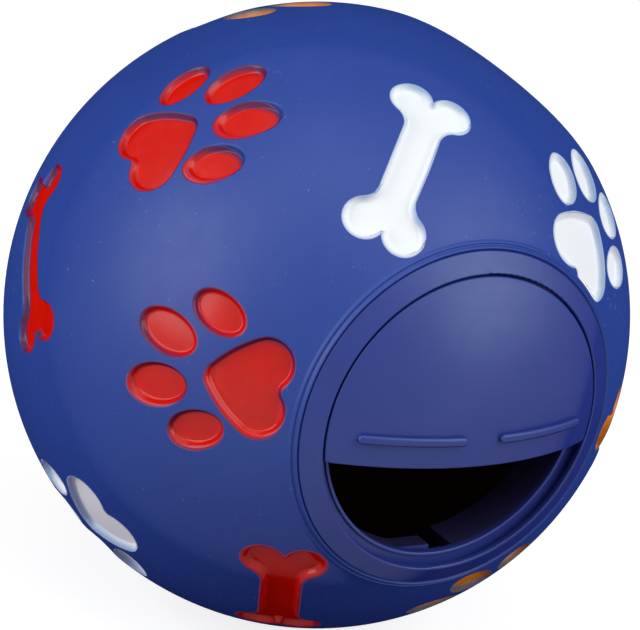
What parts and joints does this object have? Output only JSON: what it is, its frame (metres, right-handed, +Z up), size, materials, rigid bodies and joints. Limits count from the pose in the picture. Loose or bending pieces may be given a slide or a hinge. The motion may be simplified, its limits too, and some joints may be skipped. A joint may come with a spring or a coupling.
{
  "type": "treat dispensing ball",
  "caption": "Hollow soft ball with sunken painted paws and bones, and a snapped-in lid ring whose domed shutter turns to open or close the treat mouth.",
  "frame": {"origin": "centre of the ball", "axes": "+Z up, -Y out through the middle of the lid, +X along the shutter's straight edge"},
  "size_m": [0.11, 0.1108, 0.1099],
  "materials": {
    "ball_vinyl": "satin soft vinyl",
    "lid_plastic": "satin",
    "paint_red": "glossy paint",
    "paint_white": "glossy paint",
    "paint_orange": "glossy paint"
  },
  "bodies": {
    "ball": {"ball_shell": "ball_vinyl", "lid_ring": "lid_plastic", "paint_red_paw_1": "paint_red", "paint_red_paw_2": "paint_red", "paint_red_paw_3": "paint_red", "paint_red_paw_4": "paint_red", "paint_red_bone_1": "paint_red", "paint_red_bone_2": "paint_red", "paint_red_bone_3": "paint_red", "paint_white_paw_1": "paint_white", "paint_white_paw_2": "paint_white", "paint_white_paw_3": "paint_white", "paint_white_bone_1": "paint_white", "paint_white_bone_2": "paint_white", "paint_white_bone_3": "paint_white", "paint_orange_paw_1": "paint_orange", "paint_orange_paw_2": "paint_orange", "paint_orange_paw_3": "paint_orange", "paint_orange_bone_1": "paint_orange", "paint_orange_bone_2": "paint_orange"},
    "shutter": {"shutter": "lid_plastic"}
  },
  "joints": [
    {"name": "shutter_turn", "type": "hinge", "parent": "ball", "child": "shutter", "pos_m": [0, -0.047, 0], "axis": [0, -1, 0], "continuous": true}
  ]
}
